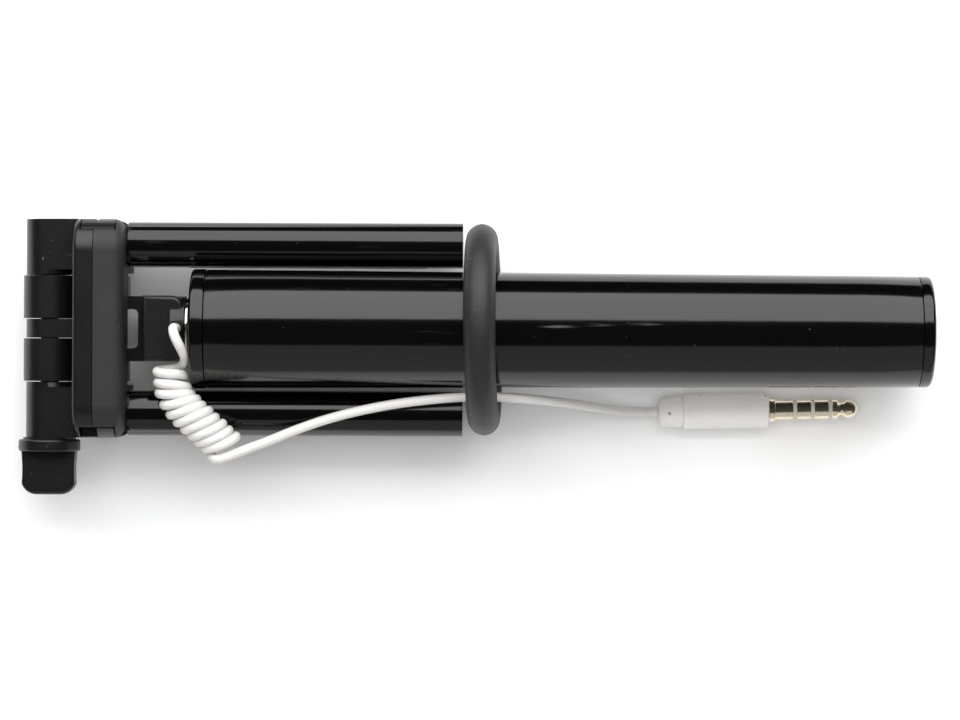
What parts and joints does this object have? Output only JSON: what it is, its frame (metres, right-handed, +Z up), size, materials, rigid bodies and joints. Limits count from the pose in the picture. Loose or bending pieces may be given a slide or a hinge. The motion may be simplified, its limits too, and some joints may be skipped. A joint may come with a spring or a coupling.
{
  "type": "selfie stick",
  "caption": "Folded telescopic selfie stick with tilting spring phone clamp, wing knob, coiled audio lead and rubber ring.",
  "frame": {"origin": "centre of the end cap's outer face on the handle axis", "axes": "+X along the handle out of the end cap, +Y across the jaws to the upper jaw, +Z up from the surface the folded stick lies on"},
  "size_m": [0.1522, 0.046, 0.0352],
  "materials": {
    "gloss_black": "glossy moulded ABS",
    "satin_black": "satin moulded nylon",
    "soft_black": "soft-touch coating",
    "ring_rubber": "matte silicone rubber",
    "pad_rubber": "ribbed rubber",
    "steel": "drawn stainless steel tube",
    "chrome": "bright plated",
    "white_cord": "smooth white PVC",
    "white_plug": "satin white moulding",
    "gold": "thin gold plating",
    "insulator": "pale insulator rings",
    "nylon": "natural acetal",
    "board": "green circuit board"
  },
  "bodies": {
    "handle": {"handle_shell": "gloss_black", "front_collar": "gloss_black", "end_cap": "gloss_black", "switch_board": "board", "tact_switch": "chrome", "board_screws": "steel", "section_1": "steel"},
    "shutter_button": {"shutter_button": "satin_black"},
    "section_2": {"section_2": "steel", "section_2_bush": "nylon"},
    "section_3": {"section_3": "steel", "section_3_bush": "nylon"},
    "section_4": {"section_4": "steel", "section_4_bush": "nylon"},
    "section_5": {"section_5": "steel", "section_5_bush": "nylon"},
    "head": {"section_6": "steel", "section_6_bush": "nylon", "fork_bracket": "satin_black", "ferrule": "chrome", "cord_grommet": "satin_black", "cord_lead": "white_cord", "cord_coil": "white_cord", "cord_tail": "white_cord", "plug_collar": "white_plug", "plug_body": "white_plug", "plug_contacts": "gold", "plug_insulators": "insulator"},
    "holder": {"plate_back": "gloss_black", "plate_cover": "soft_black", "plate_screws": "steel", "trapped_nut": "steel", "hinge_washer": "nylon", "upper_spring": "steel", "lower_spring": "steel"},
    "knob": {"knob": "satin_black", "hinge_bolt": "steel"},
    "upper_jaw": {"upper_arm": "gloss_black", "upper_pad": "pad_rubber"},
    "lower_jaw": {"lower_arm": "gloss_black", "lower_pad": "pad_rubber"},
    "rubber_ring": {"rubber_ring": "ring_rubber"}
  },
  "joints": [
    {"name": "section_2_slide", "type": "slide", "parent": "handle", "child": "section_2", "axis": [-1, 0, 0], "range_m": [0, 0.072], "deforming": ["cord_lead", "cord_coil", "cord_tail", "plug_collar", "plug_body", "plug_contacts", "plug_insulators"]},
    {"name": "section_3_slide", "type": "slide", "parent": "section_2", "child": "section_3", "axis": [-1, 0, 0], "range_m": [0, 0.072], "deforming": ["cord_lead", "cord_coil", "cord_tail", "plug_collar", "plug_body", "plug_contacts", "plug_insulators"]},
    {"name": "section_4_slide", "type": "slide", "parent": "section_3", "child": "section_4", "axis": [-1, 0, 0], "range_m": [0, 0.072], "deforming": ["cord_lead", "cord_coil", "cord_tail", "plug_collar", "plug_body", "plug_contacts", "plug_insulators"]},
    {"name": "section_5_slide", "type": "slide", "parent": "section_4", "child": "section_5", "axis": [-1, 0, 0], "range_m": [0, 0.072], "deforming": ["cord_lead", "cord_coil", "cord_tail", "plug_collar", "plug_body", "plug_contacts", "plug_insulators"]},
    {"name": "section_6_slide", "type": "slide", "parent": "section_5", "child": "head", "axis": [-1, 0, 0], "range_m": [0, 0.072], "deforming": ["cord_lead", "cord_coil", "cord_tail", "plug_collar", "plug_body", "plug_contacts", "plug_insulators"]},
    {"name": "clamp_tilt", "type": "hinge", "parent": "head", "child": "holder", "pos_m": [-0.147, 0, -0.0026], "axis": [0, -1, 0], "range_deg": [0, 270], "deforming": ["cord_lead", "cord_coil", "cord_tail", "plug_collar", "plug_body", "plug_contacts", "plug_insulators"]},
    {"name": "knob_turn", "type": "hinge", "parent": "holder", "child": "knob", "pos_m": [-0.147, 0, -0.0026], "axis": [0, 1, 0], "range_deg": [-180, 180]},
    {"name": "upper_jaw_slide", "type": "slide", "parent": "holder", "child": "upper_jaw", "axis": [0, 1, 0], "range_m": [0, 0.029], "stiffness_N_per_m": 60, "springref_m": -0.02, "deforming": ["upper_spring"]},
    {"name": "lower_jaw_slide", "type": "slide", "parent": "holder", "child": "lower_jaw", "axis": [0, -1, 0], "range_m": [0, 0.029], "stiffness_N_per_m": 60, "springref_m": -0.02, "deforming": ["lower_spring", "cord_lead", "cord_coil", "cord_tail", "plug_collar", "plug_body", "plug_contacts", "plug_insulators"]},
    {"name": "shutter_press", "type": "slide", "parent": "handle", "child": "shutter_button", "axis": [0, 0, 1], "range_m": [0, 0.0004], "stiffness_N_per_m": 1500, "springref_m": -0.0004},
    {"name": "ring_slide", "type": "slide", "parent": "handle", "child": "rubber_ring", "axis": [1, 0, 0], "range_m": [0, 0.068], "deforming": ["cord_lead", "cord_coil", "cord_tail", "plug_collar", "plug_body", "plug_contacts", "plug_insulators"]}
  ]
}
